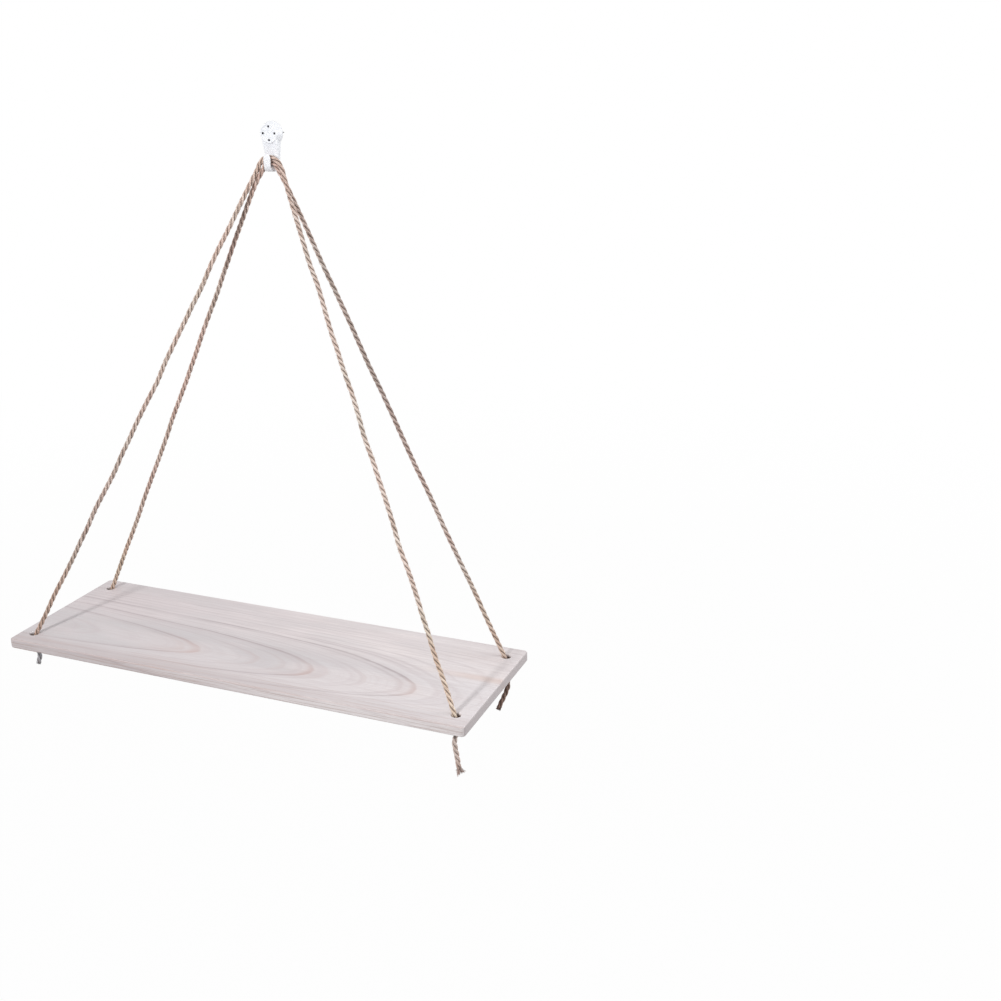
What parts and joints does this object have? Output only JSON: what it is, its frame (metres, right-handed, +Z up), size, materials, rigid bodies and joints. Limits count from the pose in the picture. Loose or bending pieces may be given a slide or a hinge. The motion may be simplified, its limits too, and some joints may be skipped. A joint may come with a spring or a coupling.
{
  "type": "hanging rope shelf",
  "caption": "Plain wooden shelf board hung level from one white wall hook by two jute ropes that pass over the hook, run through the board's corner holes and end in knots.",
  "frame": {"origin": "on the wall plane, behind the middle of the hook's round head, on the flat back of the hook", "axes": "+X to the right along the wall, +Y into the wall, +Z up; the shelf's front faces -Y"},
  "size_m": [0.43, 0.1467, 0.4771],
  "materials": {
    "whitewashed_wood": "whitewashed pale wood with a greyish pink grain, matt",
    "jute": "natural twisted jute, tan with brown grooves",
    "white_plastic": "white moulded plastic, satin",
    "pin_steel": "bare hardened steel"
  },
  "bodies": {
    "hook": {"hook_body": "white_plastic", "hook_pin_top": "pin_steel", "hook_pin_left": "pin_steel", "hook_pin_right": "pin_steel", "hook_pin_bottom": "pin_steel"},
    "rope_tops": {"front_rope_top": "jute", "back_rope_top": "jute"},
    "hanging_shelf": {"shelf_board": "whitewashed_wood", "front_rope_left_leg": "jute", "front_rope_right_leg": "jute", "back_rope_left_leg": "jute", "back_rope_right_leg": "jute", "front_left_knot": "jute", "front_right_knot": "jute", "back_left_knot": "jute", "back_right_knot": "jute"},
    "front_left_tail": {"front_left_tail": "jute"},
    "front_right_tail": {"front_right_tail": "jute"},
    "back_left_tail": {"back_left_tail": "jute"},
    "back_right_tail": {"back_right_tail": "jute"}
  },
  "joints": [
    {"name": "side_swing", "type": "hinge", "parent": "hook", "child": "rope_tops", "pos_m": [0, -0.0074, -0.0288], "axis": [0, 1, 0], "range_deg": [-20, 20]},
    {"name": "forward_swing", "type": "hinge", "parent": "rope_tops", "child": "hanging_shelf", "pos_m": [0, -0.0074, -0.027], "axis": [-1, 0, 0], "range_deg": [0, 35]},
    {"name": "front_left_tail_bend", "type": "hinge", "parent": "hanging_shelf", "child": "front_left_tail", "pos_m": [-0.1999, -0.1201, -0.437], "axis": [0, 1, 0], "range_deg": [-20, 20], "stiffness_Nm_per_rad": 0.0005},
    {"name": "front_right_tail_bend", "type": "hinge", "parent": "hanging_shelf", "child": "front_right_tail", "pos_m": [0.2015, -0.1213, -0.437], "axis": [0, 1, 0], "range_deg": [-20, 20], "stiffness_Nm_per_rad": 0.0005},
    {"name": "back_left_tail_bend", "type": "hinge", "parent": "hanging_shelf", "child": "back_left_tail", "pos_m": [-0.2015, -0.0168, -0.437], "axis": [0, 1, 0], "range_deg": [-20, 20], "stiffness_Nm_per_rad": 0.0005},
    {"name": "back_right_tail_bend", "type": "hinge", "parent": "hanging_shelf", "child": "back_right_tail", "pos_m": [0.2015, -0.0168, -0.437], "axis": [0, 1, 0], "range_deg": [-20, 20], "stiffness_Nm_per_rad": 0.0005}
  ]
}
